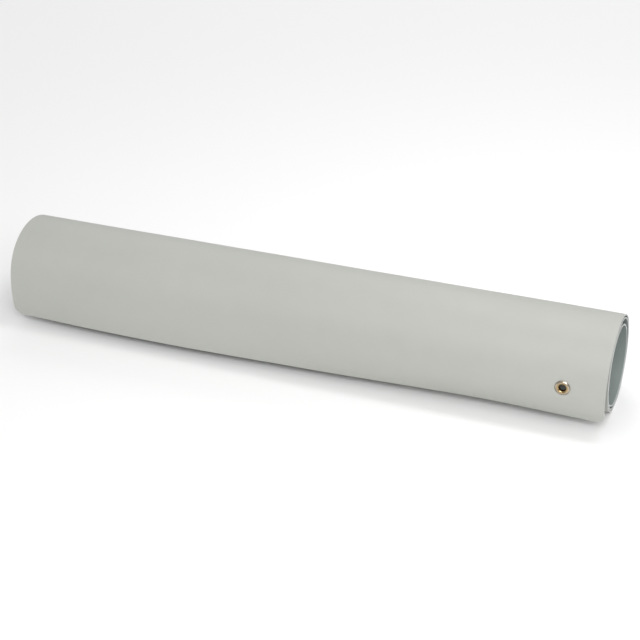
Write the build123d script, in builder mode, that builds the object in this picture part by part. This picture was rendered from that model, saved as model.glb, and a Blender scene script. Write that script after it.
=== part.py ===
"""A vinyl backdrop sheet, rolled up and lying on a table, with two grommets near the corners of one side.

Millimetres. +X runs along the roll, -Y is the front, where the loose flap hangs, and +Z is up.
The origin is on the table, under the axis of the roll, at the middle of its length.
"""

import os
from math import cos, degrees, pi, radians, sin, sqrt

from build123d import *

# The flat sheet
sheet_width = 457.2  # along the roll
sheet_length = 609.6  # round the roll
sheet_thickness = 1.1
corner_radius = 7.0

# The roll
roll_radius = 37.4  # outside of the outer turn
settle = 3.9  # how far the turns are pressed flat underneath by their weight
layer_gap = 0.3  # between turns that lie against each other
rest_reach = 0.8  # how far the flattened underside goes in front of the axis
under_slack = [0.0, 1.2]  # room under them, where the inner fitting lies between two turns
foot_radius = 8.0  # of the short bend where the second turn leaves the underside
foot_angle = 18.0  # degrees that it turns there
front_slack = 9.1  # from the round down to the second turn's front
crown_slack = [1.3, 2.35]  # room above the second and third turns, besides the layer gap
back_slack = [0.0, 2.85]  # room behind them
crown_shift = [1.1, -1.25]  # how far their tops are behind the axis
crown_sweeps = [140.0, 140.0, 100.0]  # degrees of even curve from each turn's top down its back

# The flap
hinge_angle = 10.0  # degrees in front of the top, where the flap is taken to bend
hinge_gap = 0.3
flap_start_angle = 80.0  # degrees in front of the top, where the flap leaves the round
tail_angle = 51.0  # degrees of the round that the rest of the flap would cover
tail_slack = [52.0, 115.0, 43.0, 19.0, 8.0, 13.5]  # how much wider than the roll the tail curves
tail_places = [-1 / 2, -1 / 4, 0, 1 / 6, 1 / 3, 1 / 2]  # where, as shares of the width

# The grommets
hole_diameter = 4.76
barrel_wall = 0.3
barrel_clearance = 0.1  # between the barrel and what it goes through
flange_diameter = 10.8
flange_height = 0.95
flange_rim = 0.25  # height of its edge
mouth_radius = 0.6  # rounding of the hole's front edge
washer_diameter = 10.4
washer_metal = 0.3
clinch_diameter = 7.4  # the barrel's end, rolled over the washer
clinch_height = 0.6
seat_play = 0.03  # under the flange, over the washer and under the rolled end
side_setback = 29.0  # grommet centre to the side of the sheet
end_setback = 26.3  # grommet centre to the end of the sheet

# Sizes that follow
half = sheet_thickness / 2
middle_radius = roll_radius - half
axis_height = roll_radius - settle
pitch = sheet_thickness + layer_gap
tail_length = middle_radius * radians(tail_angle)
hinge_inset = half + hinge_gap / 2  # from the hinge line to the centre of each rounded edge
hole_radius = hole_diameter / 2
barrel_radius = hole_radius + barrel_wall
flange_radius = flange_diameter / 2
washer_radius = washer_diameter / 2
clinch_radius = clinch_diameter / 2
grommet_x = sheet_width / 2 - side_setback
cut_above = half + layer_gap / 2  # a cut goes this far out of the sheet, to miss the next turn
cut_depth = 4 * sheet_thickness


def follow(pose, steps):
    """The pose (y, z, heading) at the start of each step and at the end of the last.
    A step is (length, radius), where radius is positive to turn left, negative to turn right, 0 for straight."""
    poses = [pose]
    for length, radius in steps:
        y, z, heading = poses[-1]
        turn = length / radius if radius else 0
        chord = 2 * radius * sin(turn / 2) if radius else length
        middle = heading + turn / 2
        poses.append((y + chord * cos(middle), z + chord * sin(middle), heading + turn))
    return poses


def total(steps):
    return sum(length for length, radius in steps)


def shorten(steps, limit):
    """The steps as far as a length along them."""
    kept = []
    for length, radius in steps:
        if limit > 0:
            kept.append((min(length, limit), radius))
        limit -= length
    return kept


def beside(pose, side):
    """The point that far to the left of a pose."""
    y, z, heading = pose
    return (y - side * sin(heading), z + side * cos(heading))


def on_the_round(angle, heading):
    """The pose on the outer turn's middle line, that many radians in front of the top."""
    return (
        -middle_radius * sin(angle),
        axis_height + middle_radius * cos(angle),
        heading,
    )


def draw_face(poses, steps, side):
    """One face of the sheet: its middle line moved sideways."""
    for pose, after, (length, radius) in zip(poses, poses[1:], steps):
        if radius:
            direction = (cos(pose[2]), sin(pose[2]))
            JernArc(beside(pose, side), direction, abs(radius - side), degrees(length / radius))
        else:
            Line(beside(pose, side), beside(after, side))


def draw_section(pose, steps):
    """The sheet's section along the steps, half round where it starts and square where it ends."""
    poses = follow(pose, steps)
    y, z, heading = pose
    with BuildLine() as outline:
        draw_face(poses, steps, half)
        draw_face(poses, steps, -half)
        nose = (y - half * cos(heading), z - half * sin(heading))
        ThreePointArc(beside(pose, half), nose, beside(pose, -half))
        Line(beside(poses[-1], half), beside(poses[-1], -half))
    make_face(outline.edges())


def of_turn(values, turn):
    """A turn's own value, or the last one for the turns after it."""
    return values[min(turn, len(values) - 1)]


def coil_steps(pose, length):
    """The turns that stay rolled: over the top, down the back, under and up the front, each inside the last."""
    steps = []
    turn = 0
    top = axis_height + middle_radius
    bottom = half
    front = middle_radius - front_slack
    back = middle_radius
    radius = middle_radius
    sweep = radians(crown_sweeps[0]) + pose[2]
    while total(steps) < length:
        over = [(radius * sweep, -radius)]
        y, z, heading = follow(pose, over)[-1]
        rest = pi - radians(of_turn(crown_sweeps, turn))
        corner = (z - bottom) / (1 - cos(rest))
        under = [(corner * rest, -corner), (y - corner * sin(rest) + rest_reach, 0)]

        # Room that only the first inner turns have; the later ones lie against each other.
        loose = turn < len(crown_slack)
        top -= pitch + (crown_slack[turn] if loose else 0)
        back -= pitch + (back_slack[turn] if loose else 0)
        foot, lift = foot_radius - turn * pitch, radians(foot_angle)
        up = (front - rest_reach - foot * sin(lift)) / (1 - sin(lift))
        crest = front + of_turn(crown_shift, turn)
        upright = top - bottom - foot * (1 - cos(lift)) - up * cos(lift) - crest
        rise = [(foot * lift, -foot), (up * (pi / 2 - lift), -up), (upright, 0), (crest * pi / 2, -crest)]

        steps += over + under + rise
        pose = follow(pose, over + under + rise)[-1]
        turn += 1
        bottom += pitch + of_turn(under_slack, turn - 1)
        front -= pitch
        radius = back - pose[0]
        sweep = radians(of_turn(crown_sweeps, turn))
    return shorten(steps, length)


def sheet_plane(pose, x, outward):
    """A plane on the sheet's middle, its X along the roll and its Z out of the roll. outward is 1 where that is
    to the left of the pose's heading, and -1 where it is to the right."""
    y, z, heading = pose
    return Plane(
        origin=(x, y, z),
        x_dir=(1, 0, 0),
        z_dir=(0, -outward * sin(heading), outward * cos(heading)),
    )


def round_corner(pose, side, outward):
    """Cuts one corner of the sheet round, at the end where the pose points off the sheet."""
    plane = sheet_plane(pose, side * sheet_width / 2, outward)
    over = corner_radius + sheet_thickness
    inset = corner_radius - over / 2
    with BuildSketch(plane.offset(cut_above)) as corner:
        with Locations((-side * inset, -outward * inset)):
            Rectangle(over, over)
        with Locations((-side * corner_radius, -outward * corner_radius)):
            Circle(corner_radius, mode=Mode.SUBTRACT)
    extrude(corner.sketch, amount=-cut_depth, mode=Mode.SUBTRACT)


def punch_hole(plane):
    """The grommet's hole through the sheet."""
    with BuildSketch(plane.offset(cut_above)) as hole:
        Circle(barrel_radius + barrel_clearance)
    extrude(hole.sketch, amount=-cut_depth, mode=Mode.SUBTRACT)


def profile_plane(plane):
    """The plane of a turned profile, its X a radius and its Y out of the roll, 0 on the sheet's outside."""
    seat = plane.offset(half)
    return Plane(origin=seat.origin, x_dir=seat.x_dir, z_dir=-seat.y_dir)


def washer_level(bend):
    """How far under the sheet's outside a flat washer lies, on the hollow side of a sheet bent to that radius."""
    inside = abs(bend) - half
    return sheet_thickness + inside - sqrt(inside**2 - washer_radius**2) + seat_play


def turn_eyelet(plane, bend):
    """The eyelet: a domed flange outside, a barrel through the sheet, and its end rolled over the washer."""
    clinch_top = -washer_level(bend) - washer_metal - seat_play
    clinch_low = clinch_top - clinch_height
    mouth = (hole_radius + mouth_radius, flange_height - mouth_radius)
    with BuildSketch(profile_plane(plane)) as profile:
        with BuildLine() as outline:
            CenterArc(mouth, mouth_radius, 90, 90)
            crown = (mouth[0], flange_height)
            rim = (flange_radius, flange_rim)
            bulge = ((crown[0] + rim[0]) / 2 + flange_rim / 2, (crown[1] + rim[1]) / 2 + flange_rim / 2)
            ThreePointArc(crown, bulge, rim)
            Polyline(
                rim,
                (flange_radius, seat_play),
                (barrel_radius, seat_play),
                (barrel_radius, clinch_top),
                (clinch_radius, clinch_top),
            )
            low_edge = (barrel_radius, clinch_low)
            roll = (clinch_radius - flange_rim / 2, (clinch_top + clinch_low) / 2)
            ThreePointArc((clinch_radius, clinch_top), roll, low_edge)
            Polyline(low_edge, (hole_radius, clinch_top), (hole_radius, mouth[1]))
        make_face(outline.edges())
    revolve(profile.sketch, axis=Axis(plane.origin, plane.z_dir))


def turn_washer(plane, bend):
    """The washer behind the sheet."""
    top = -washer_level(bend)
    inner = barrel_radius + barrel_clearance
    with BuildSketch(profile_plane(plane)) as profile:
        with BuildLine() as outline:
            Polyline(
                (inner, top),
                (washer_radius, top),
                (washer_radius, top - washer_metal),
                (inner, top - washer_metal),
                close=True,
            )
        make_face(outline.edges())
    revolve(profile.sketch, axis=Axis(plane.origin, plane.z_dir))


# The flap's route, from the hinge down the front: a round stretch, then the tail, which curves less.
flap_start = radians(hinge_angle) + hinge_inset / middle_radius
flap_pose = on_the_round(flap_start, flap_start + pi)
round_length = middle_radius * (radians(flap_start_angle) - flap_start)


def flap_steps(slack):
    return [(round_length, middle_radius), (tail_length, middle_radius + slack)]


def slack_at(x):
    """The tail's slack at a place along the roll, in line between the two nearest places given."""
    share = x / sheet_width
    known = list(zip(tail_places, tail_slack))
    for (low, first), (high, second) in zip(known, known[1:]):
        if low <= share <= high:
            return first + (second - first) * (share - low) / (high - low)


# The coil's route, from the hinge over the top and inwards.
coil_start = radians(hinge_angle) - hinge_inset / middle_radius
coil_pose = on_the_round(coil_start, coil_start)
coil_length = sheet_length - round_length - tail_length - 2 * hinge_inset
coil_route = coil_steps(coil_pose, coil_length)

# The places of the grommets, and how the sheet bends there.
flap_route = flap_steps(slack_at(grommet_x))
outer_place = follow(flap_pose, shorten(flap_route, total(flap_route) - end_setback))[-1]
outer_plane = sheet_plane(outer_place, grommet_x, -1)
inner_route = shorten(coil_route, coil_length - end_setback)
inner_plane = sheet_plane(follow(coil_pose, inner_route)[-1], grommet_x, 1)
inner_bend = inner_route[-1][1] or middle_radius

with BuildPart() as sheet_coil:
    with BuildSketch(Plane.YZ):
        draw_section(coil_pose, coil_route)
    extrude(amount=sheet_width / 2, both=True)
    for side in (-1, 1):
        round_corner(follow(coil_pose, coil_route)[-1], side, 1)
    punch_hole(inner_plane)

with BuildPart() as sheet_flap:
    for place, slack in zip(tail_places, tail_slack):
        with BuildSketch(Plane.YZ.offset(place * sheet_width)):
            draw_section(flap_pose, flap_steps(slack))
    loft()
    for side, slack in ((-1, tail_slack[0]), (1, tail_slack[-1])):
        round_corner(follow(flap_pose, flap_steps(slack))[-1], side, -1)
    punch_hole(outer_plane)

with BuildPart() as outer_eyelet:
    turn_eyelet(outer_plane, middle_radius)

with BuildPart() as outer_washer:
    turn_washer(outer_plane, middle_radius)

with BuildPart() as inner_eyelet:
    turn_eyelet(inner_plane, inner_bend)

with BuildPart() as inner_washer:
    turn_washer(inner_plane, inner_bend)

pieces = {
    "sheet_coil": sheet_coil,
    "sheet_flap": sheet_flap,
    "outer_eyelet": outer_eyelet,
    "outer_washer": outer_washer,
    "inner_eyelet": inner_eyelet,
    "inner_washer": inner_washer,
}
os.makedirs("parts", exist_ok=True)
for name, piece in pieces.items():
    piece.part.label = name
    export_step(piece.part, f"parts/{name}.step")

hinge_line = on_the_round(radians(hinge_angle), 0)
print("hinge line y, z", [round(v, 4) for v in hinge_line[:2]])
print("outer grommet", outer_plane.origin, outer_plane.z_dir)
print("inner grommet", inner_plane.origin, inner_plane.z_dir)
print("coil length", round(coil_length, 2), "of", round(total(coil_route), 2))
for place, slack in zip(tail_places, tail_slack):
    y, z, heading = follow(flap_pose, flap_steps(slack))[-1]
    print("tail end at", round(place * sheet_width, 1), "y", round(y, 2), "z", round(z, 2))
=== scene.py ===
"""A rolled vinyl backdrop sheet with two metal grommets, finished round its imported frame.

The sheet is worked out flat, as it was cut, and then bent along the route that it follows in the roll.
Lengths are in metres. +X runs along the roll, -Y is the front with the loose flap, +Z is up, and the
origin is on the table under the axis of the roll.
"""

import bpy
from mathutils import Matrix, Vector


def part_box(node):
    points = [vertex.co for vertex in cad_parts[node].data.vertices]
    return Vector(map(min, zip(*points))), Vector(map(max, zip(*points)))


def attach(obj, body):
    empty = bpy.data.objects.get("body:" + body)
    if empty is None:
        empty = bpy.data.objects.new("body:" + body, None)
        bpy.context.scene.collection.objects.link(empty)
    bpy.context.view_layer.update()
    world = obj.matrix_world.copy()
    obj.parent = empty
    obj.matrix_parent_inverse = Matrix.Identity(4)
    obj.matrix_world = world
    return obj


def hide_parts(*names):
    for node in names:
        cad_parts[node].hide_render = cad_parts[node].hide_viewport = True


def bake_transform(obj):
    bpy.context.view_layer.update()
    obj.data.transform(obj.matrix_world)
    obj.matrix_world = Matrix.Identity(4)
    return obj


bl_info = {
    "name": "Rolled backdrop sheet",
    "version": (1, 0, 0),
    "blender": (4, 5, 0),
    "location": "3D View > Sidebar > Backdrop",
    "description": "Builds a rolled vinyl backdrop sheet with grommets, and its studio",
    "category": "Add Mesh",
}

from math import atan2, cos, pi, radians, sin, sqrt

import bpy
import numpy as np
from mathutils import Matrix, Vector

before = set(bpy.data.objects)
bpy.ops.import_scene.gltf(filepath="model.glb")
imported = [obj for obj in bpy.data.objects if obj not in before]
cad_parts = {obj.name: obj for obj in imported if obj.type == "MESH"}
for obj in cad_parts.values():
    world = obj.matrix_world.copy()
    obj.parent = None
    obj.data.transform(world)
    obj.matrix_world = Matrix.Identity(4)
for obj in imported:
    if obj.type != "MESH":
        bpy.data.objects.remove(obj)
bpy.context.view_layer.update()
coil_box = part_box("sheet_coil")

COIL_BODY = "coil"
FLAP_BODY = "flap"

# The route of the roll, as the frame has it.
REST_REACH = 0.0008
UNDER_SLACK = (0.0, 0.0012)
FOOT_RADIUS = 0.008
FOOT_ANGLE = radians(18)
FRONT_SLACK = 0.0091
CROWN_SLACK = (0.0013, 0.00235)
BACK_SLACK = (0.0, 0.00285)
CROWN_SHIFT = (0.0011, -0.00125)
CROWN_SWEEPS = (140, 140, 100)
HINGE_ANGLE = radians(10)
FLAP_START_ANGLE = radians(80)
SEAM_ANGLE = radians(80)
TAIL_ANGLE = radians(51)
TAIL_PLACES = (-1 / 2, -1 / 4, 0, 1 / 6, 1 / 3, 1 / 2)

# The slow waves of the sheet's face: each one's share, lengths across and along the sheet, and start.
SLOW_WAVES = ((1.0, 0.231, 0.31, 0.7), (0.6, 0.097, -0.19, 0.0))
SLOW_DEPTH = 0.00005
WAVES_END, WAVES_FADE = 0.19, 0.01  # how far past the hinge they reach, and over what length they die out
# The one wave of the flap's free end.
LOOSE_LENGTH, LOOSE_WAVE, LOOSE_START, LOOSE_DEPTH = 0.05, 0.148, 0.4, 0.00012

# How finely the sheet is worked out and meshed.
ROUTE_STEP = 0.0005
ROUTE_COLUMN = 0.003
ROUTE_SMOOTHING = 0.0025
ROW_STEP = 0.0017
COLUMN_STEP = 0.006
CORNER_STEPS = 10
SIDE_ZONE = 0.018
EASE = 0.00014
HOLE_RINGS = 4
RING_STEP = 0.00135
TABLE_END = 0.000001  # keeps the last place inside the route's last cell
SEAM_COSINE = 0.3  # below it, two faces meet squarely

# How far round it a clamped grommet presses the sheet flat, in flange radii, and what share of the curve goes.
PRESS_REACH, PRESS_FADE, PRESS_NEAR, PRESS_SHARE = 2.3, 1.2, 4, 0.65

# The grommets' own small sizes.
MOUTH_RADIUS = 0.00145
MOUTH_DEPTH = 0.0014
MOUTH_STEPS = 12
DOME_STEPS = 12
DOME_POWER = 0.9
SHOULDER = 0.00034  # height of the flange's edge
SEAT_OFFSET = 0.00002  # from the sheet's faces to the flange's underside and the washer's top
BARREL_GAP = 0.0001  # round the barrel, in the sheet and in the washer
CURL = 0.0005  # radius of the barrel's curled end
CURL_DROP = 0.0002  # how far past the washer's metal the curl's middle lies
CURL_START, CURL_LIP = 0.0001, 0.00012  # below that middle, where the curl leaves the barrel and its lip ends
# The washer's raised ring: half widths and depths of its outline, and its shift outwards.
RING_OUTLINE = ((0.0005, 0.0), (0.0003, 0.00007), (0.0, 0.0001))
RING_SHIFT = 0.0004

# The room's strength, and each light's name, width, depth, watts, place and aim.
ROOM_STRENGTH = 0.57
LIGHTS = (
    ("Key light", 4.8, 3.2, 152.0, (1.72, -4.92, 4.68), (0, 0, 0.03)),
    ("Right light", 0.6, 0.4, 3.2, (0.60, -0.75, 0.72), (0.18, 0, 0.03)),
    ("Top light", 0.4, 0.1, 1.0, (0.22, 0.11, 0.62), (0.20, 0, 0.03)),
    ("Floor wash", 3.0, 1.2, 10.5, (-0.25, 1.8, 1.4), (-0.25, 1.3, 0)),
)
FLOOR_REACH = 6.0
SENSOR_WIDTH = 36
CAMERA_CLIP = (0.01, 50)


class SheetSettings(bpy.types.PropertyGroup):
    """The sheet and the roll it is in"""

    width: bpy.props.FloatProperty(
        name="Width",
        description="Width of the flat sheet, along the roll",
        default=coil_box[1].x - coil_box[0].x,
        min=0.3,
        max=1.2,
        unit="LENGTH",
    )
    length: bpy.props.FloatProperty(
        name="Length",
        description="Length of the flat sheet, round the roll",
        default=0.6096,
        min=0.45,
        max=1.2,
        unit="LENGTH",
    )
    thickness: bpy.props.FloatProperty(
        name="Thickness", description="Thickness of the vinyl", default=0.0011, min=0.0003, unit="LENGTH"
    )
    corner: bpy.props.FloatProperty(
        name="Corner radius", description="Rounding of the sheet's corners", default=0.007, unit="LENGTH"
    )
    roll_radius: bpy.props.FloatProperty(
        name="Roll radius", description="Outside of the outer turn", default=0.0374, unit="LENGTH"
    )
    settle: bpy.props.FloatProperty(
        name="Settle",
        description="How far the turns are pressed flat underneath by their weight",
        default=0.0039,
        unit="LENGTH",
    )
    layer_gap: bpy.props.FloatProperty(
        name="Layer gap", description="Gap between turns that touch", default=0.0003, unit="LENGTH"
    )
    tail_slack: bpy.props.FloatVectorProperty(
        name="Tail slack",
        description="How much wider than the roll the flap's free end curves, from one side to the other",
        size=6,
        default=(0.052, 0.115, 0.043, 0.019, 0.008, 0.0135),
        unit="LENGTH",
    )
    color: bpy.props.FloatVectorProperty(
        name="Color", description="Colour of the vinyl", subtype="COLOR", default=(0.428, 0.434, 0.402)
    )
    # Painted shade: the back gets a darker, cooler copy of the face's grey, for the shaded inside of the roll.
    shaded_back_color: bpy.props.FloatVectorProperty(
        name="Back color",
        description="Colour of the back of the vinyl",
        subtype="COLOR",
        default=(0.25, 0.29, 0.277),
    )
    core_color: bpy.props.FloatVectorProperty(
        name="Core color", description="Colour of the cut edge", subtype="COLOR", default=(0.50, 0.515, 0.505)
    )
    roughness: bpy.props.FloatProperty(
        name="Roughness", description="Roughness of the vinyl", default=0.52, min=0, max=1, subtype="FACTOR"
    )


class GrommetSettings(bpy.types.PropertyGroup):
    """The two grommets"""

    hole: bpy.props.FloatProperty(
        name="Hole", description="Diameter of the open hole", default=0.00476, unit="LENGTH"
    )
    metal: bpy.props.FloatProperty(
        name="Metal", description="Thickness of the grommet's metal", default=0.0003, unit="LENGTH"
    )
    flange: bpy.props.FloatProperty(
        name="Flange", description="Diameter of the outer ring", default=0.0108, unit="LENGTH"
    )
    height: bpy.props.FloatProperty(
        name="Height", description="How far the ring stands out of the sheet", default=0.00095, unit="LENGTH"
    )
    washer: bpy.props.FloatProperty(
        name="Washer", description="Diameter of the washer behind the sheet", default=0.0104, unit="LENGTH"
    )
    clinch: bpy.props.FloatProperty(
        name="Clinch", description="Diameter of the end rolled over the washer", default=0.0074, unit="LENGTH"
    )
    from_side: bpy.props.FloatProperty(
        name="From side", description="Centre to the side of the sheet", default=0.029, unit="LENGTH"
    )
    from_end: bpy.props.FloatProperty(
        name="From end", description="Centre to the end of the sheet", default=0.0263, unit="LENGTH"
    )
    plating: bpy.props.FloatVectorProperty(
        name="Plating", description="Colour of the plated metal", subtype="COLOR", default=(0.52, 0.455, 0.36)
    )
    brass: bpy.props.FloatVectorProperty(
        name="Brass",
        description="Colour of the metal in the hole",
        subtype="COLOR",
        default=(0.46, 0.33, 0.17),
    )


class StudioSettings(bpy.types.PropertyGroup):
    """The floor, lights and camera"""

    camera_azimuth: bpy.props.FloatProperty(
        name="Azimuth", description="Camera round from the front", default=radians(22.231), subtype="ANGLE"
    )
    camera_elevation: bpy.props.FloatProperty(
        name="Elevation", description="Camera above level", default=radians(30), subtype="ANGLE"
    )
    camera_tilt: bpy.props.FloatProperty(
        name="Tilt", description="Camera turned about its view", default=radians(-1.117), subtype="ANGLE"
    )
    camera_distance: bpy.props.FloatProperty(
        name="Distance", description="Camera to its target", default=1.0788, unit="LENGTH"
    )
    camera_target: bpy.props.FloatVectorProperty(
        name="Target", description="What the camera looks at", default=(0.01023, 0, 0.02803), subtype="XYZ"
    )
    camera_lens: bpy.props.FloatProperty(
        name="Lens", description="Focal length in millimetres", default=82.81, min=10, max=300
    )
    floor_color: bpy.props.FloatVectorProperty(
        name="Floor", description="Colour of the floor", subtype="COLOR", default=(0.93, 0.93, 0.93)
    )


# ---------------------------------------------------------------- the sheet's route


def follow(pose, steps):
    """The pose (y, z, heading) at the start of each step and at the end of the last."""
    poses = [pose]
    for length, radius in steps:
        y, z, heading = poses[-1]
        turn = length / radius if radius else 0
        chord = 2 * radius * sin(turn / 2) if radius else length
        middle = heading + turn / 2
        poses.append((y + chord * cos(middle), z + chord * sin(middle), heading + turn))
    return poses


def points_along(pose, steps, places):
    """The (y, z) points at distances along the steps."""
    poses = follow(pose, steps)
    starts = np.cumsum([0] + [length for length, radius in steps])
    found = np.zeros((len(places), 2))
    for i, place in enumerate(places):
        k = min(int(np.searchsorted(starts, place, side="right")) - 1, len(steps) - 1)
        found[i] = follow(poses[k], [(place - starts[k], steps[k][1])])[-1][:2]
    return found


def of_turn(values, turn):
    """A turn's own value, or the last one for the turns after it."""
    return values[min(turn, len(values) - 1)]


class Route:
    """Where the middle of the sheet lies, by the place across it and the distance from its outer end."""

    def __init__(self, sheet, grommet):
        self.sheet = sheet
        self.half = sheet.thickness / 2
        self.middle_radius = sheet.roll_radius - self.half
        self.axis_height = sheet.roll_radius - sheet.settle
        self.tail_length = self.middle_radius * TAIL_ANGLE
        self.round_length = self.middle_radius * (FLAP_START_ANGLE - HINGE_ANGLE)
        self.hinge = self.tail_length + self.round_length
        self.seam = self.hinge + self.middle_radius * (HINGE_ANGLE + SEAM_ANGLE)
        self.grommet_x = sheet.width / 2 - grommet.from_side
        self.grommet_places = (grommet.from_end, sheet.length - grommet.from_end)
        self.flat_radius = grommet.flange / 2
        self.tabulate()

    def coil_steps(self, pose, length):
        """The turns over the top, down the back, under and up the front, each inside the last."""
        sheet = self.sheet
        pitch = sheet.thickness + sheet.layer_gap
        steps = []
        done = turn = 0
        top = self.axis_height + self.middle_radius
        bottom = self.half
        front = self.middle_radius - FRONT_SLACK
        back = radius = self.middle_radius
        sweep = radians(CROWN_SWEEPS[0]) + pose[2]
        while done < length:
            over = [(radius * sweep, -radius)]
            y, z, heading = follow(pose, over)[-1]
            rest = pi - radians(of_turn(CROWN_SWEEPS, turn))
            corner = (z - bottom) / (1 - cos(rest))
            under = [(corner * rest, -corner), (y - corner * sin(rest) + REST_REACH, 0)]
            loose = turn < len(CROWN_SLACK)
            top -= pitch + (CROWN_SLACK[turn] if loose else 0)
            back -= pitch + (BACK_SLACK[turn] if loose else 0)
            foot = FOOT_RADIUS - turn * pitch
            up = (front - REST_REACH - foot * sin(FOOT_ANGLE)) / (1 - sin(FOOT_ANGLE))
            crest = front + of_turn(CROWN_SHIFT, turn)
            upright = top - bottom - foot * (1 - cos(FOOT_ANGLE)) - up * cos(FOOT_ANGLE) - crest
            rise = [(foot * FOOT_ANGLE, -foot), (up * (pi / 2 - FOOT_ANGLE), -up)]
            rise += [(upright, 0), (crest * pi / 2, -crest)]
            steps += over + under + rise
            done = sum(step[0] for step in steps)
            pose = follow(pose, over + under + rise)[-1]
            turn += 1
            bottom += pitch + of_turn(UNDER_SLACK, turn - 1)
            front -= pitch
            radius = back - pose[0]
            sweep = radians(of_turn(CROWN_SWEEPS, turn))
        return steps

    def slack_at(self, x):
        """The tail's slack across the sheet, eased from each place given to the next."""
        share = np.clip(x / self.sheet.width, -0.5, 0.5)
        places, slack = np.array(TAIL_PLACES), np.array(self.sheet.tail_slack)
        rate = np.diff(slack) / np.diff(places)
        slope = np.zeros(len(slack))
        for i in range(1, len(slack) - 1):
            if rate[i - 1] * rate[i] > 0:
                slope[i] = 2 * rate[i - 1] * rate[i] / (rate[i - 1] + rate[i])
        slope[0], slope[-1] = rate[0], rate[-1]
        k = np.clip(np.searchsorted(places, share, side="right") - 1, 0, len(rate) - 1)
        run = places[k + 1] - places[k]
        t = (share - places[k]) / run
        return (
            (2 * t**3 - 3 * t**2 + 1) * slack[k]
            + (t**3 - 2 * t**2 + t) * run * slope[k]
            + (3 * t**2 - 2 * t**3) * slack[k + 1]
            + (t**3 - t**2) * run * slope[k + 1]
        )

    def tabulate(self):
        """Works the route out on a fine grid, with the joins between its arcs eased."""
        sheet = self.sheet
        columns = round(sheet.width / ROUTE_COLUMN)
        rows = round(sheet.length / ROUTE_STEP)
        self.xs = np.linspace(-sheet.width / 2, sheet.width / 2, columns + 1)
        self.ds = np.linspace(0, sheet.length, rows + 1)
        radius, height = self.middle_radius, self.axis_height
        start = (-radius * sin(HINGE_ANGLE), height + radius * cos(HINGE_ANGLE), HINGE_ANGLE)
        coil = self.ds[self.ds >= self.hinge] - self.hinge
        coil_points = points_along(start, self.coil_steps(start, sheet.length - self.hinge), coil)
        flap = self.hinge - self.ds[self.ds < self.hinge]
        angle = HINGE_ANGLE + flap / radius
        on_round = np.stack([-radius * np.sin(angle), height + radius * np.cos(angle)], -1)
        out = np.array([-sin(FLAP_START_ANGLE), cos(FLAP_START_ANGLE)])
        points = np.zeros((len(self.xs), len(self.ds), 2))
        for i, slack in enumerate(self.slack_at(self.xs)):
            tail_radius = radius + slack
            centre = np.array([0, height]) - out * slack
            turned = FLAP_START_ANGLE + (flap - self.round_length) / tail_radius
            tail = centre + tail_radius * np.stack([-np.sin(turned), np.cos(turned)], -1)
            points[i, : len(flap)] = np.where(flap[:, None] > self.round_length, tail, on_round)
            points[i, len(flap) :] = coil_points
        self.points = self.eased(points)
        self.work_out_normals()

    def eased(self, points):
        """The points smoothed a little along the sheet, its ends kept in place."""
        reach = int(3 * ROUTE_SMOOTHING / ROUTE_STEP)
        offsets = np.arange(-reach, reach + 1) * ROUTE_STEP
        weights = np.exp(-((offsets / ROUTE_SMOOTHING) ** 2) / 2)
        weights /= weights.sum()
        first = 2 * points[:, :1] - points[:, reach:0:-1]
        last = 2 * points[:, -1:] - points[:, -2 : -reach - 2 : -1]
        longer = np.concatenate([first, points, last], 1)
        smooth = np.zeros_like(points)
        for k, weight in enumerate(weights):
            smooth += weight * longer[:, k : k + points.shape[1]]
        return smooth

    def work_out_normals(self):
        """Outward directions of the sheet's face, and then the slow waves that a hung sheet keeps."""
        x_step, d_step = self.xs[1] - self.xs[0], self.ds[1] - self.ds[0]
        for wave in (self.waves(), None):
            along = np.gradient(self.points, d_step, axis=1)
            across = np.gradient(self.points, x_step, axis=0)
            lean = across[..., 0] * along[..., 1] - across[..., 1] * along[..., 0]
            self.normals = np.stack([lean, -along[..., 1], along[..., 0]], -1)
            self.normals /= np.linalg.norm(self.normals, axis=-1, keepdims=True)
            if wave is not None:
                self.points = self.points + wave[..., None] * self.normals[..., 1:]
        self.bend = np.gradient(np.unwrap(np.arctan2(along[..., 1], along[..., 0]), axis=1), d_step, axis=1)

    def waves(self):
        """Shallow waves of the face, deepest at the flap's free end."""
        x, d = self.xs[:, None], self.ds[None, :]
        slow = 0
        for share, across, along, start in SLOW_WAVES:
            slow = slow + share * np.sin(2 * pi * (x / across + d / along) + start)
        outer = 1 / (1 + np.exp((d - self.hinge - WAVES_END) / WAVES_FADE))
        loose = np.exp(-((d / LOOSE_LENGTH) ** 2)) * np.sin(2 * pi * x / LOOSE_WAVE + LOOSE_START)
        return SLOW_DEPTH * slow * outer + LOOSE_DEPTH * loose

    def at(self, x, d):
        """Points and outward directions at places on the flat sheet, as (n, 3) arrays."""
        x, d = np.asarray(x, float), np.asarray(d, float)
        fx = np.clip((x - self.xs[0]) / (self.xs[1] - self.xs[0]), 0, len(self.xs) - 1 - TABLE_END)
        fd = np.clip(d / self.ds[1], 0, len(self.ds) - 1 - TABLE_END)
        i, j = fx.astype(int), fd.astype(int)
        u, v = (fx - i)[:, None], (fd - j)[:, None]

        def between(table):
            table = table if table.ndim == 3 else table[..., None]
            low = table[i, j] * (1 - v) + table[i, j + 1] * v
            high = table[i + 1, j] * (1 - v) + table[i + 1, j + 1] * v
            return low * (1 - u) + high * u

        point = np.concatenate([x[:, None], between(self.points)], 1)
        normal = between(self.normals)
        normal /= np.linalg.norm(normal, axis=1, keepdims=True)
        point += normal * self.pressed_flat(x, d, between(self.bend)[:, 0])[:, None]
        return point, normal

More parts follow.
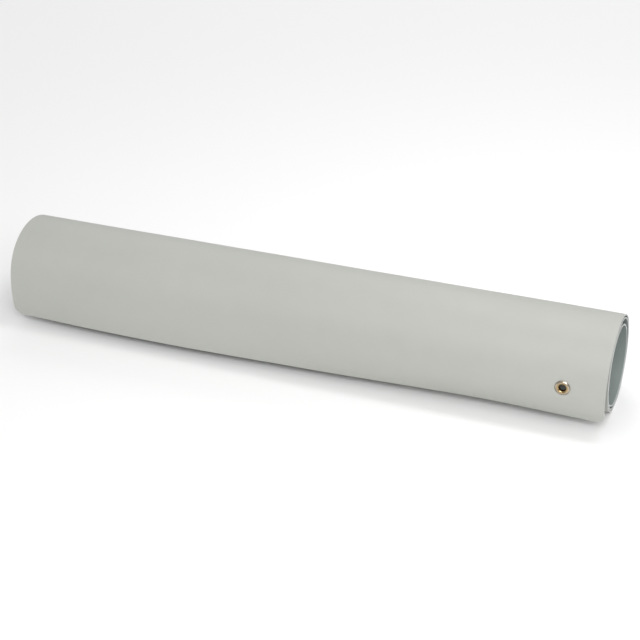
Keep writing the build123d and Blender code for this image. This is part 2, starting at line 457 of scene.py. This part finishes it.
    def pressed_flat(self, x, d, bend):
        """How far the clamped grommets lift the sheet round them out of its curve."""
        lift = np.zeros(len(x))
        for place in self.grommet_places:
            far = np.hypot(x - self.grommet_x, d - place)
            hold = np.clip((PRESS_REACH * self.flat_radius - far) / (PRESS_FADE * self.flat_radius), 0, 1)
            hold = hold * hold * (3 - 2 * hold)
            near = np.abs(d - place) < PRESS_NEAR * self.flat_radius
            lift += np.where(near, PRESS_SHARE * hold * (d - place) ** 2 * np.abs(bend) / 2, 0)
        return lift


# ---------------------------------------------------------------- meshes


def new_piece(name, vertices, faces, materials=(), face_materials=None, uvs=None):
    """A smooth mesh object, with one flat UV for each vertex. Vertices that no face has are left out."""
    mesh = bpy.data.meshes.new(name)
    used, faces = np.unique(np.asarray(faces), return_inverse=True)
    faces = faces.reshape(-1, 4)
    vertices = np.asarray(vertices, float)[used]
    uvs = None if uvs is None else np.asarray(uvs, np.float32)[used]
    mesh.from_pydata(vertices.tolist(), [], faces.tolist())
    for material in materials:
        mesh.materials.append(material)
    mesh.polygons.foreach_set("use_smooth", [True] * len(mesh.polygons))
    if face_materials is not None:
        mesh.polygons.foreach_set("material_index", face_materials)
    if uvs is not None:
        layer = mesh.uv_layers.new(name="flat")
        index = np.zeros(len(mesh.loops), int)
        mesh.loops.foreach_get("vertex_index", index)
        layer.data.foreach_set("uv", uvs[index].ravel())
    mesh.update()
    piece = bpy.data.objects.new(name, mesh)
    bpy.context.scene.collection.objects.link(piece)
    return piece


def spread(start, end, step):
    """Evenly spaced places from start to end, both included, about a step apart."""
    return list(np.linspace(start, end, max(1, round((end - start) / step)) + 1))


def with_blocks(start, end, step, centres):
    """Places from start to end with an even, finer block round each centre, and the blocks' first indices."""
    places, blocks = [], []
    reach = 2 * HOLE_RINGS
    at = start
    for centre in centres:
        low, high = centre - reach * RING_STEP, centre + reach * RING_STEP
        places += spread(at, low, step)[:-1]
        blocks.append(len(places))
        places += [centre + k * RING_STEP for k in range(-reach, reach)]
        at = high
    places += spread(at, end, step)
    return places, blocks


class FlatCut:
    """The flat sheet between two distances from its outer end, as a grid with round corners and a hole."""

    def __init__(self, route, start, end, hole_radius):
        self.route = route
        self.hole_radius = hole_radius
        sheet = route.sheet
        self.first_end = start <= 0
        self.last_end = end >= sheet.length
        inner = sheet.corner - EASE
        turns = [k * pi / 2 / CORNER_STEPS for k in range(CORNER_STEPS + 1)]
        lead = [sheet.corner - inner * cos(turn) for turn in turns]
        insets = [sheet.corner - inner * sin(turn) for turn in turns]
        low = lead[-1] if self.first_end else start
        high = sheet.length - lead[-1] if self.last_end else end
        holes = [place for place in route.grommet_places if low < place < high]
        rows, self.row_blocks = with_blocks(low, high, ROW_STEP, holes)
        self.insets = [EASE] * len(rows)
        if self.first_end:
            rows = lead[:-1] + rows
            self.insets = insets[:-1] + self.insets
            self.row_blocks = [k + len(lead) - 1 for k in self.row_blocks]
        if self.last_end:
            rows = rows + [sheet.length - place for place in lead[-2::-1]]
            self.insets = self.insets + insets[-2::-1]
        side = sheet.width / 2 - EASE
        inside = side - 2 * EASE
        columns, self.column_blocks = with_blocks(-inside, inside, COLUMN_STEP, [route.grommet_x])
        columns = [-side] + columns + [side]
        self.column_blocks = [k + 1 for k in self.column_blocks]
        self.rows, self.columns = np.array(rows), np.array(columns)
        self.lay_out()

    def lay_out(self):
        """Flat places of the grid's vertices, the quads between them and the loops at its edges."""
        sheet = self.route.sheet
        rows, columns = self.rows, self.columns
        self.x = np.tile(columns, (len(rows), 1))
        self.d = np.tile(rows[:, None], (1, len(columns)))
        edge = sheet.width / 2
        for j, inset in enumerate(self.insets):
            outer = np.abs(columns) > edge - SIDE_ZONE
            squeeze = (SIDE_ZONE - inset) / (SIDE_ZONE - EASE)
            moved = edge - SIDE_ZONE + (np.abs(columns) - edge + SIDE_ZONE) * squeeze
            self.x[j] = np.where(outer, np.sign(columns) * moved, columns)
        gone = np.zeros((len(rows) - 1, len(columns) - 1), bool)
        self.hole_loops = []
        for block in self.row_blocks:
            self.open_hole(block, self.column_blocks[0], gone)
        number = np.arange(len(rows) * len(columns)).reshape(len(rows), len(columns))
        quads = np.stack([number[:-1, :-1], number[:-1, 1:], number[1:, 1:], number[1:, :-1]], -1)
        self.quads = quads[~gone]
        self.number = number

    def open_hole(self, row, column, gone):
        """Turns the middle of a square block of the grid into rings round a hole."""
        reach = 2 * HOLE_RINGS
        growth = (reach * RING_STEP - self.hole_radius) / HOLE_RINGS
        centre_x, centre_d = self.columns[column + reach], self.rows[row + reach]
        loop = {}
        for j in range(-reach, reach + 1):
            for i in range(-reach, reach + 1):
                ring = max(abs(i), abs(j))
                if ring < HOLE_RINGS:
                    continue
                share = (ring - HOLE_RINGS) / (reach - HOLE_RINGS)
                share = share * share * (3 - 2 * share)
                # Places on a square ring turn to even angles on a circle.
                if abs(i) >= abs(j):
                    angle = (0 if i > 0 else pi) + (j / i) * pi / 4
                else:
                    angle = (pi / 2 if j > 0 else -pi / 2) - (i / j) * pi / 4
                radius = self.hole_radius + (ring - HOLE_RINGS) * growth
                at = (row + reach + j, column + reach + i)
                self.x[at] = centre_x + (1 - share) * radius * cos(angle) + share * i * RING_STEP
                self.d[at] = centre_d + (1 - share) * radius * sin(angle) + share * j * RING_STEP
                if ring == HOLE_RINGS:
                    loop[angle % (2 * pi)] = at
        low, high = reach - HOLE_RINGS, reach + HOLE_RINGS
        gone[row + low : row + high, column + low : column + high] = True
        self.hole_loops.append([loop[angle] for angle in sorted(loop)])

    def rim(self):
        """The grid's outer loop, as places in the grid with the flat direction off the sheet at each."""
        sheet = self.route.sheet
        last_row, last_column = len(self.rows) - 1, len(self.columns) - 1
        sides = []
        for j, place in enumerate(self.rows):
            near_first = self.first_end and place < sheet.corner
            near_last = self.last_end and sheet.length - place < sheet.corner
            if near_first or near_last:
                fall = (sheet.corner - min(place, sheet.length - place)) / (sheet.corner - EASE)
                sides.append((sqrt(max(0, 1 - fall**2)), -fall if near_first else fall))
            else:
                sides.append((1, 0))
        loop = [((0, i), (0, -1)) for i in range(1, last_column)]
        loop += [((j, last_column), sides[j]) for j in range(last_row + 1)]
        loop += [((last_row, i), (0, 1)) for i in range(last_column - 1, 0, -1)]
        loop += [((j, 0), (-sides[j][0], sides[j][1])) for j in range(last_row, -1, -1)]
        return loop


def bend_sheet(name, cut, materials):
    """A closed mesh of the cut sheet, bent along its route, with eased edges."""
    route = cut.route
    half = route.half
    x, d = cut.x.ravel(), cut.d.ravel()
    count = len(x)
    point, normal = route.at(x, d)
    vertices = [point + half * normal, point - half * normal]
    flat = [np.stack([x, d], 1), np.stack([x, d], 1)]
    faces = [cut.quads, cut.quads[:, ::-1] + count]
    kinds = [np.zeros(len(cut.quads), int), np.full(len(cut.quads), 2)]

    def band(numbers, outer_x, outer_d):
        """Closes one loop from the outer face to the inner, over two edge loops of its own."""
        total = sum(len(v) for v in vertices)
        size = len(numbers)
        at, out = route.at(outer_x, outer_d)
        level = half - EASE
        vertices.extend([at + level * out, at - level * out])
        flat.extend([np.stack([outer_x, outer_d], 1)] * 2)
        numbers = np.array(numbers)
        loops = [numbers, total + np.arange(size), total + size + np.arange(size), numbers + count]
        for a, b in zip(loops, loops[1:]):
            faces.append(np.stack([a, b, np.roll(b, -1), np.roll(a, -1)], 1))
            kinds.append(np.ones(size, int))

    rim = cut.rim()
    number = cut.number
    places = [number[at] for at, out in rim]
    ways = np.array([out for at, out in rim], float)
    # The seam between two cuts has no easing, so that the two faces run on.
    for k, (at, out) in enumerate(rim):
        seam = (at[0] == 0 and not cut.first_end) or (at[0] == len(cut.rows) - 1 and not cut.last_end)
        if seam:
            ways[k] = (np.sign(out[0]) if at[1] in (0, len(cut.columns) - 1) else 0, 0)
    band(places, x[places] + EASE * ways[:, 0], d[places] + EASE * ways[:, 1])
    for loop in cut.hole_loops:
        numbers = [number[at] for at in loop][::-1]
        band(numbers, x[numbers], d[numbers])
    shape = np.concatenate(vertices)
    shape[:, 2] = np.maximum(shape[:, 2], 0)  # What it lies on stops its waves.
    piece = new_piece(
        name,
        shape,
        np.concatenate(faces),
        materials,
        np.concatenate(kinds),
        np.concatenate(flat),
    )
    crease_seams(piece.data)
    return piece


def crease_seams(mesh):
    """Keeps the two faces' shading straight up to a seam, where the closing band meets them squarely."""
    sides = {}
    for face in mesh.polygons:
        for key in face.edge_keys:
            sides.setdefault(key, []).append(face.normal)
    for edge in mesh.edges:
        normals = sides[edge.key]
        if len(normals) == 2 and normals[0].dot(normals[1]) < SEAM_COSINE:
            edge.use_edge_sharp = True


def turned(name, outline, place, materials, segments=72):
    """A piece turned about the Z of its place, from a closed clockwise outline of (radius, height) points."""
    vertices, uvs, faces = [], [], []
    for k in range(segments):
        angle = 2 * pi * k / segments
        for radius, height in outline:
            vertices.append(place @ Vector((radius * cos(angle), radius * sin(angle), height)))
            uvs.append((radius, height))
    size = len(outline)
    for k in range(segments):
        after = (k + 1) % segments
        for i in range(size):
            j = (i + 1) % size
            faces.append((k * size + i, k * size + j, after * size + j, after * size + i))
    return new_piece(name, vertices, faces, materials, None, uvs)


def arc(centre, radius, start, end, steps):
    """Points of an arc in degrees, ends included."""
    return [
        (
            centre[0] + radius * cos(radians(start + (end - start) * k / steps)),
            centre[1] + radius * sin(radians(start + (end - start) * k / steps)),
        )
        for k in range(steps + 1)
    ]


# ---------------------------------------------------------------- finishes


class Value:
    """A node socket that takes Python's operators, each adding its Math node."""

    def __init__(self, finish, socket):
        self.finish = finish
        self.socket = socket

    def math(self, operation, first, second):
        return self.finish.node("ShaderNodeMath", {"operation": operation}, {0: first, 1: second})

    def __add__(self, other):
        return self.math("ADD", self, other)

    def __mul__(self, other):
        return self.math("MULTIPLY", self, other)

    __radd__ = __add__
    __rmul__ = __mul__


class Finish:
    """A material and its nodes."""

    def __init__(self, name):
        self.material = bpy.data.materials.new(name)
        self.material.use_nodes = True
        self.tree = self.material.node_tree
        self.tree.nodes.clear()

    def node(self, kind, settings=None, inputs=None, output=0):
        """Adds a node: its settings first, then its sockets' values or links. Returns one of its outputs."""
        made = self.tree.nodes.new(kind)
        for key, value in (settings or {}).items():
            if key == "stops":
                self.set_stops(made.color_ramp, value)
            else:
                setattr(made, key, value)
        for key, value in (inputs or {}).items():
            if isinstance(value, Value):
                self.tree.links.new(value.socket, made.inputs[key])
            else:
                made.inputs[key].default_value = value
        return Value(self, made.outputs[output]) if len(made.outputs) else None

    def set_stops(self, ramp, stops):
        """Sets a ramp's stops, each a position and a grey."""
        while len(ramp.elements) < len(stops):
            ramp.elements.new(0.5)
        for element, (position, level) in zip(ramp.elements, stops):
            element.position = position
            element.color = (level, level, level, 1)

    def noise(self, vector, scale, detail=2.0, roughness=0.5):
        inputs = {"Vector": vector, "Scale": scale, "Detail": detail, "Roughness": roughness}
        return self.node("ShaderNodeTexNoise", None, inputs)

    def step(self, value, low, high):
        """0 below low and 1 above high, with a smooth rise between."""
        return self.node(
            "ShaderNodeMapRange",
            {"interpolation_type": "SMOOTHSTEP"},
            {"Value": value, "From Min": low, "From Max": high},
        )

    def ramp(self, value, low, high):
        """The value as 0 up to low and 1 from high."""
        stops = [(low, 0.0), (high, 1.0)]
        return self.node("ShaderNodeValToRGB", {"stops": stops}, {"Fac": value})

    def mix(self, share, first, second):
        """Two colours mixed by a share."""
        settings = {"data_type": "RGBA"}
        return self.node("ShaderNodeMix", settings, {0: share, 6: first, 7: second}, 2)

    def bump(self, height, strength, distance, normal=None):
        inputs = {"Strength": strength, "Distance": distance, "Height": height}
        if normal is not None:
            inputs["Normal"] = normal
        return self.node("ShaderNodeBump", None, inputs)

    def surface(self, **sockets):
        """The shader, given by socket names with _ for a space."""
        inputs = {key.replace("_", " "): value for key, value in sockets.items()}
        shader = self.node("ShaderNodeBsdfPrincipled", None, inputs)
        self.node("ShaderNodeOutputMaterial", None, {"Surface": shader})
        return self.material


def shade(color, factor):
    """A colour made darker or lighter, with full alpha."""
    return (*[min(1, channel * factor) for channel in color], 1)


def vinyl_finish(sheet):
    """Calendered vinyl: an even grey with a fine grain and a low sheen."""
    finish = Finish("Grey vinyl")
    flat = finish.node("ShaderNodeUVMap", {"uv_map": "flat"})
    cloud = finish.noise(flat, 9.0, 3.0, 0.55)
    mottle = finish.noise(flat, 90.0, 2.0, 0.5)
    grain = finish.noise(flat, 1600.0, 3.0, 0.6)
    fleck = finish.ramp(finish.noise(flat, 520.0, 1.0, 0.4), 0.70, 0.80)
    share = finish.ramp(cloud * 0.55 + mottle * 0.25 + grain * 0.2, 0.36, 0.64)
    tone = finish.mix(share, shade(sheet.color, 0.975), shade(sheet.color, 1.025))
    color = finish.mix(fleck * 0.10, tone, shade(sheet.color, 0.80))
    rough = finish.ramp(mottle, 0.2, 0.8) * 0.08 + (sheet.roughness - 0.04)
    normal = finish.bump(grain, 0.25, 0.00004)
    normal = finish.bump(mottle, 0.30, 0.00012, normal)
    return finish.surface(Base_Color=color, Roughness=rough, Normal=normal, IOR=1.5)


def shaded_back_finish(sheet):
    """The back of the vinyl: duller than its face, with a coarser grain, and its colour painted darker and
    cooler as painted shade for the inside of the roll.
    """
    finish = Finish("Vinyl back with painted shade")
    flat = finish.node("ShaderNodeUVMap", {"uv_map": "flat"})
    grain = finish.noise(flat, 1100.0, 3.0, 0.6)
    share = finish.ramp(finish.noise(flat, 24.0, 3.0, 0.55), 0.3, 0.7)
    # Painted shade: the darker, cooler back colour, mottled a little.
    color = finish.mix(share, shade(sheet.shaded_back_color, 0.96), shade(sheet.shaded_back_color, 1.04))
    normal = finish.bump(grain, 0.3, 0.00005)
    return finish.surface(Base_Color=color, Roughness=grain * 0.1 + 0.58, Normal=normal, IOR=1.5)


def core_finish(sheet):
    """The cut edge of the vinyl, a little lighter, with the knife's fine drag lines."""
    finish = Finish("Vinyl cut edge")
    flat = finish.node("ShaderNodeUVMap", {"uv_map": "flat"})
    drag = finish.noise(flat, 700.0, 3.0, 0.6)
    share = finish.ramp(drag, 0.3, 0.7)
    color = finish.mix(share, shade(sheet.core_color, 0.94), shade(sheet.core_color, 1.04))
    normal = finish.bump(drag, 0.3, 0.00005)
    rough = drag * 0.2 + 0.5
    return finish.surface(Base_Color=color, Roughness=rough, Normal=normal, IOR=1.5)


def grommet_finish(grommet, name):
    """Bright plating that thins to brass in the mouth, with painted shade darkening the brass deep in the
    barrel and an uneven ring of painted shade round its foot.
    """
    finish = Finish(name)
    flat = finish.node("ShaderNodeUVMap", {"uv_map": "flat"})
    radius = finish.node("ShaderNodeSeparateXYZ", None, {"Vector": flat})
    height = finish.node("ShaderNodeSeparateXYZ", None, {"Vector": flat}, 1)
    place = finish.node("ShaderNodeTexCoord", None, None, 3)
    marks = finish.noise(place, 900.0, 4.0, 0.65)
    tarnish = finish.ramp(finish.noise(place, 260.0, 3.0, 0.6), 0.42, 0.75)
    mouth, rim = grommet.hole / 2 + MOUTH_RADIUS, grommet.flange / 2
    out_of_mouth = finish.step(radius, mouth - 0.0003, mouth + 0.0005)
    # Painted shade: the brass turns dark brown deep in the barrel, where the hole lies in shade.
    barrel_shade_fade = finish.step(height, -0.0012, 0.0003)
    # Painted shade: an uneven dark ring round the flange's foot, standing in for the dark reflections on the
    # dome's outer slope and the shade where it meets the sheet.
    rim_shade_zone = finish.step(radius, rim - 0.0009, rim - 0.0001)
    painted_rim_shade = rim_shade_zone * finish.ramp(finish.noise(place, 150.0, 2.0, 0.5), 0.36, 0.60)
    plated = finish.mix(tarnish * 0.75, shade(grommet.plating, 1), shade(grommet.plating, 0.45))
    plated = finish.mix(painted_rim_shade * 0.8, plated, shade(grommet.plating, 0.12))
    tarnished_brass_with_barrel_shade = finish.mix(tarnish * 0.8, shade(grommet.brass, 1), shade(grommet.brass, 0.30))
    # Painted shade deep in the barrel, laid over the tarnished brass.
    tarnished_brass_with_barrel_shade = finish.mix(barrel_shade_fade, shade(grommet.brass, 0.12), tarnished_brass_with_barrel_shade)
    color = finish.mix(out_of_mouth, tarnished_brass_with_barrel_shade, plated)
    rough = marks * 0.16 + tarnish * 0.08 + 0.10
    normal = finish.bump(marks, 0.12, 0.00004)
    return finish.surface(Base_Color=color, Roughness=rough, Metallic=1.0, Normal=normal)


# ---------------------------------------------------------------- operators


def settings(context):
    """The three groups of settings: the sheet's, the grommets' and the studio's."""
    scene = context.scene
    return scene.backdrop_sheet, scene.backdrop_grommet, scene.backdrop_studio


def hole_radius(grommet):
    """Radius of the hole that a grommet's barrel goes through, in the sheet and in the washer."""
    return grommet.hole / 2 + grommet.metal + BARREL_GAP


class BACKDROP_OT_outer_turn(bpy.types.Operator):
    """Build the loose flap and the outer turn that it bends from"""

    bl_idname = "backdrop.outer_turn"
    bl_label = "Outer turn and flap"

    def execute(self, context):
        sheet, grommet = settings(context)[:2]
        route = Route(sheet, grommet)
        cut = FlatCut(route, 0, route.seam, hole_radius(grommet))
        finishes = [vinyl_finish(sheet), core_finish(sheet), shaded_back_finish(sheet)]
        piece = bend_sheet("Sheet_outer_turn", cut, finishes)
        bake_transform(piece)
        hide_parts("sheet_flap")
        return {"FINISHED"}


class BACKDROP_OT_inner_turns(bpy.types.Operator):
    """Build the turns that stay rolled"""

    bl_idname = "backdrop.inner_turns"
    bl_label = "Inner turns"

    def execute(self, context):
        sheet, grommet = settings(context)[:2]
        route = Route(sheet, grommet)
        cut = FlatCut(route, route.seam, sheet.length, hole_radius(grommet))
        finishes = [vinyl_finish(sheet), core_finish(sheet), shaded_back_finish(sheet)]
        piece = bend_sheet("Sheet_inner_turns", cut, finishes)
        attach(piece, COIL_BODY)
        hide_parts("sheet_coil")
        sheet.length - route.seam
        return {"FINISHED"}


class BACKDROP_OT_grommets(bpy.types.Operator):
    """Set the eyelets and washers in the sheet"""

    bl_idname = "backdrop.grommets"
    bl_label = "Grommets"

    def execute(self, context):
        sheet, grommet = settings(context)[:2]
        route = Route(sheet, grommet)
        for name, place, body in (
            ("outer", route.grommet_places[0], FLAP_BODY),
            ("inner", route.grommet_places[1], COIL_BODY),
        ):
            seat = self.seat(route, place)
            eyelet = self.eyelet(name, sheet, grommet, seat)
            washer = self.washer(name, sheet, grommet, seat)
            for piece, node in ((eyelet, f"{name}_eyelet"), (washer, f"{name}_washer")):
                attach(piece, body)
                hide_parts(node)
        return {"FINISHED"}

    def seat(self, route, place):
        """The sheet's outside at a grommet: X along the roll, Z out of it."""
        point, normal = route.at([route.grommet_x], [place])
        out = Vector(normal[0])
        along = (Vector((1, 0, 0)) - out * out.x).normalized()
        around = out.cross(along)
        matrix = Matrix((along, around, out)).transposed().to_4x4()
        return Matrix.Translation(Vector(point[0]) + route.half * out) @ matrix

    def eyelet(self, name, sheet, grommet, seat):
        """A thin domed flange that curls into the barrel, and the barrel's end curled over the washer."""
        hole, rim, top = grommet.hole / 2, grommet.flange / 2, grommet.height
        metal, clinch = grommet.metal, grommet.clinch / 2
        deep = -sheet.thickness - metal - CURL_DROP
        crown = hole + MOUTH_RADIUS
        outline = []
        for k in range(MOUTH_STEPS + 1):
            turn = k * pi / 2 / MOUTH_STEPS
            outline.append((crown - MOUTH_RADIUS * cos(turn), top - MOUTH_DEPTH + MOUTH_DEPTH * sin(turn)))
        slope = atan2(top - SHOULDER, rim - crown)
        for k in range(1, DOME_STEPS):
            t = k / DOME_STEPS
            drop = 1 - (1 - cos(t * pi / 2)) * (1 - SHOULDER / top)
            outline.append((crown + (rim - SHOULDER - crown) * t**DOME_POWER, top * drop))
        outline += arc((rim - SHOULDER / 2, SHOULDER / 2), SHOULDER / 2, 60 - slope * 20, -90, 6)
        outline.append((rim - SHOULDER, -SEAT_OFFSET))
        outline.append((hole + metal, -SEAT_OFFSET))
        outline.append((hole + metal, deep - CURL_START))
        outline += arc((clinch - CURL, deep - CURL_LIP - CURL / 2), CURL / 2, 80, -80, 8)
        outline += arc((hole + CURL, deep), CURL, 270, 180, 8)
        return turned(f"Eyelet_{name}", outline, seat, [grommet_finish(grommet, f"Plated {name} eyelet")])

    def washer(self, name, sheet, grommet, seat):
        """A washer with an eased rim and a raised ring."""
        inner, outer = hole_radius(grommet), grommet.washer / 2
        high = -sheet.thickness - SEAT_OFFSET
        low = high - grommet.metal
        ease = grommet.metal / 2
        outline = [(inner, high)]
        outline += arc((outer - ease, high - ease), ease, 90, -90, 8)
        middle = (inner + outer) / 2 + RING_SHIFT
        outline += [(middle + half, low - depth) for half, depth in RING_OUTLINE]
        outline += [(middle - half, low - depth) for half, depth in RING_OUTLINE[-2::-1]]
        outline.append((inner, low))
        return turned(f"Washer_{name}", outline, seat, [grommet_finish(grommet, f"Plated {name} washer")])


class BACKDROP_OT_studio(bpy.types.Operator):
    """Lay the floor, set the lights and aim the camera"""

    bl_idname = "backdrop.studio"
    bl_label = "Studio"

    def execute(self, context):
        studio = settings(context)[2]
        self.floor(studio)
        self.lights(context)
        self.camera(context, studio)
        return {"FINISHED"}

    def floor(self, studio):
        """A pale, even floor, wide enough for every view."""
        corners = [(x * FLOOR_REACH, y * FLOOR_REACH, 0) for x, y in ((-1, -1), (1, -1), (1, 1), (-1, 1))]
        finish = Finish("Pale floor")
        place = finish.node("ShaderNodeTexCoord", None, None, 3)
        tone = finish.ramp(finish.noise(place, 3.0, 2.0), 0.3, 0.7)
        color = finish.mix(tone, shade(studio.floor_color, 0.995), shade(studio.floor_color, 1.0))
        material = finish.surface(Base_Color=color, Roughness=0.9, Specular_IOR_Level=0.1)
        floor = new_piece("Floor", corners, [(0, 1, 2, 3)], [material])

    def lights(self, context):
        """A soft white room: a broad light in front, one to the right, one above and one on the floor."""
        world = bpy.data.worlds.new("White room")
        context.scene.world = world
        world.use_nodes = True
        background = world.node_tree.nodes["Background"]
        background.inputs["Color"].default_value = (1, 1, 1, 1)
        background.inputs["Strength"].default_value = ROOM_STRENGTH
        for name, size, depth, power, place, aim in LIGHTS:
            data = bpy.data.lights.new(name, "AREA")
            data.shape = "RECTANGLE"
            data.size = size
            data.size_y = depth
            data.energy = power
            lamp = bpy.data.objects.new(name, data)
            lamp.location = place
            lamp.rotation_mode = "QUATERNION"
            lamp.rotation_quaternion = (Vector(aim) - Vector(place)).to_track_quat("-Z", "Y")
            context.scene.collection.objects.link(lamp)

    def camera(self, context, studio):
        """The camera, round from the front, above level and turned a little about its view."""
        a, e, tilt = studio.camera_azimuth, studio.camera_elevation, studio.camera_tilt
        back = Vector((sin(a) * cos(e), -cos(a) * cos(e), sin(e)))
        right = Vector((cos(a), sin(a), 0))
        up = back.cross(right)
        right, up = cos(tilt) * right + sin(tilt) * up, cos(tilt) * up - sin(tilt) * right
        data = bpy.data.cameras.new("Camera")
        data.sensor_width = SENSOR_WIDTH
        data.lens = studio.camera_lens
        data.clip_start, data.clip_end = CAMERA_CLIP
        camera = bpy.data.objects.new("Camera", data)
        place = Vector(studio.camera_target) + studio.camera_distance * back
        camera.matrix_world = Matrix.Translation(place) @ Matrix((right, up, back)).transposed().to_4x4()
        context.scene.collection.objects.link(camera)
        context.scene.camera = camera
        context.scene.view_settings.view_transform = "Standard"


class BACKDROP_PT_sidebar(bpy.types.Panel):
    """Sizes, colours and the steps that build the roll"""

    bl_label = "Rolled backdrop sheet"
    bl_idname = "BACKDROP_PT_sidebar"
    bl_space_type = "VIEW_3D"
    bl_region_type = "UI"
    bl_category = "Backdrop"

    def draw(self, context):
        for group in settings(context):
            box = self.layout.box()
            for name in group.__annotations__:
                box.prop(group, name)
        for operator in OPERATORS:
            self.layout.operator(operator.bl_idname)


OPERATORS = (BACKDROP_OT_studio, BACKDROP_OT_inner_turns, BACKDROP_OT_outer_turn, BACKDROP_OT_grommets)
GROUPS = {
    "backdrop_sheet": SheetSettings,
    "backdrop_grommet": GrommetSettings,
    "backdrop_studio": StudioSettings,
}


def register():
    for group in GROUPS.values():
        bpy.utils.register_class(group)
    for name, group in GROUPS.items():
        setattr(bpy.types.Scene, name, bpy.props.PointerProperty(type=group))
    for kind in (*OPERATORS, BACKDROP_PT_sidebar):
        bpy.utils.register_class(kind)


def unregister():
    for kind in (BACKDROP_PT_sidebar, *reversed(OPERATORS)):
        bpy.utils.unregister_class(kind)
    for name in GROUPS:
        delattr(bpy.types.Scene, name)
    for group in reversed(list(GROUPS.values())):
        bpy.utils.unregister_class(group)


def main():
    register()
    bpy.ops.backdrop.studio()
    bpy.ops.backdrop.inner_turns()
    bpy.ops.backdrop.outer_turn()
    bpy.ops.backdrop.grommets()


if __name__ == "__main__":
    main()
